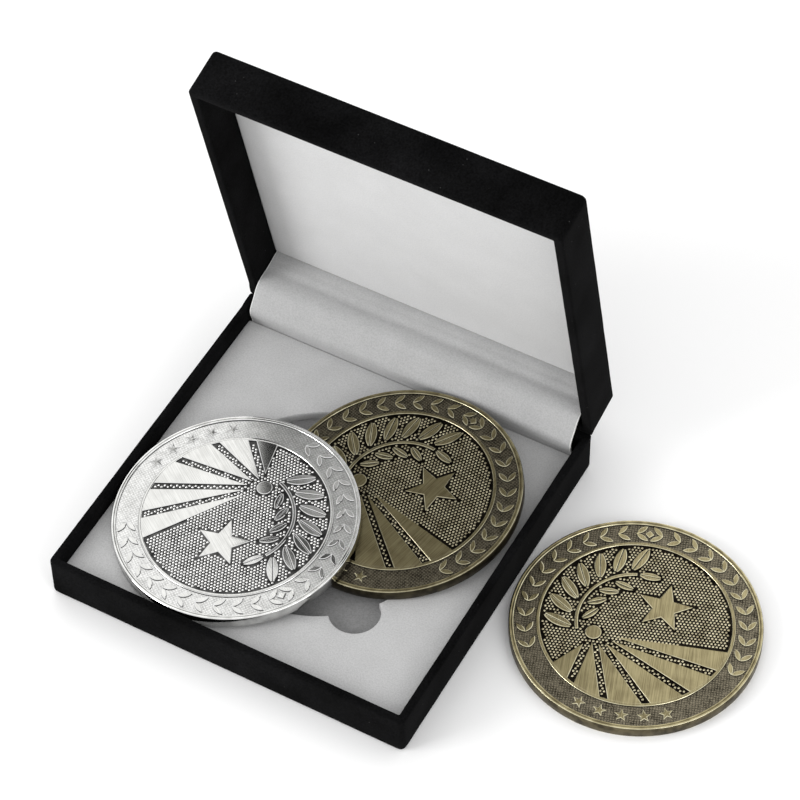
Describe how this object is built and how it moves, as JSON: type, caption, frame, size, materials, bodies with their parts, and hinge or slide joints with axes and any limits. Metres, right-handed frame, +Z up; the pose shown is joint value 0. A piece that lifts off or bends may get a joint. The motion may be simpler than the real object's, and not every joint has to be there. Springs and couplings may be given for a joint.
{
  "type": "challenge coin set",
  "caption": "Struck challenge coins in a hinged, velvet-covered presentation case with a white velour insert, its lid standing open.",
  "frame": {"origin": "centre of the case base's underside, on the table", "axes": "+X along the lid hinge towards the coin on the table, +Y towards the hinge at the back, +Z up"},
  "size_m": [0.1665, 0.1128, 0.1134],
  "materials": {
    "shell_plastic": "matte",
    "black_velvet": "matte",
    "black_paper": "matte",
    "greyboard": "matte",
    "foam": "matte",
    "white_velour": "matte",
    "hinge_steel": "satin",
    "pin_steel": "satin",
    "rivet_steel": "satin",
    "polished_nickel": "polished",
    "antique_brass": "satin"
  },
  "bodies": {
    "base": {"base_shell": "shell_plastic", "base_velvet": "black_velvet", "base_sheet": "black_paper", "insert_board": "greyboard", "insert_foam_lower": "foam", "recess_velour": "white_velour", "insert_foam_upper": "foam", "insert_velour": "white_velour", "hinge_strip": "white_velour", "hinge_left_base_leaf": "hinge_steel", "hinge_left_pin": "pin_steel", "hinge_right_base_leaf": "hinge_steel", "hinge_right_pin": "pin_steel", "base_rivets": "rivet_steel"},
    "lid": {"lid_shell": "shell_plastic", "lid_velvet": "black_velvet", "lid_board": "greyboard", "lid_velour": "white_velour", "hinge_left_lid_leaf": "hinge_steel", "hinge_right_lid_leaf": "hinge_steel", "lid_rivets": "rivet_steel"},
    "lower_coin": {"coin_bronze": "antique_brass"},
    "upper_coin": {"coin_silver": "polished_nickel"},
    "loose_coin": {"coin_table": "antique_brass"}
  },
  "joints": [
    {"name": "lid_hinge", "type": "hinge", "parent": "base", "child": "lid", "pos_m": [0, 0.0502, 0.0129], "axis": [-1, 0, 0], "range_deg": [-77.4, 17.6], "deforming": ["hinge_strip"]},
    {"name": "bronze_lift", "type": "slide", "parent": "base", "child": "lower_coin", "axis": [0, 0, 1], "range_m": [0, 0.045]},
    {"name": "silver_lift", "type": "slide", "parent": "lower_coin", "child": "upper_coin", "axis": [0, 0, 1], "range_m": [0, 0.04]},
    {"name": "table_lift", "type": "slide", "parent": "base", "child": "loose_coin", "axis": [0, 0, 1], "range_m": [0, 0.04]}
  ]
}
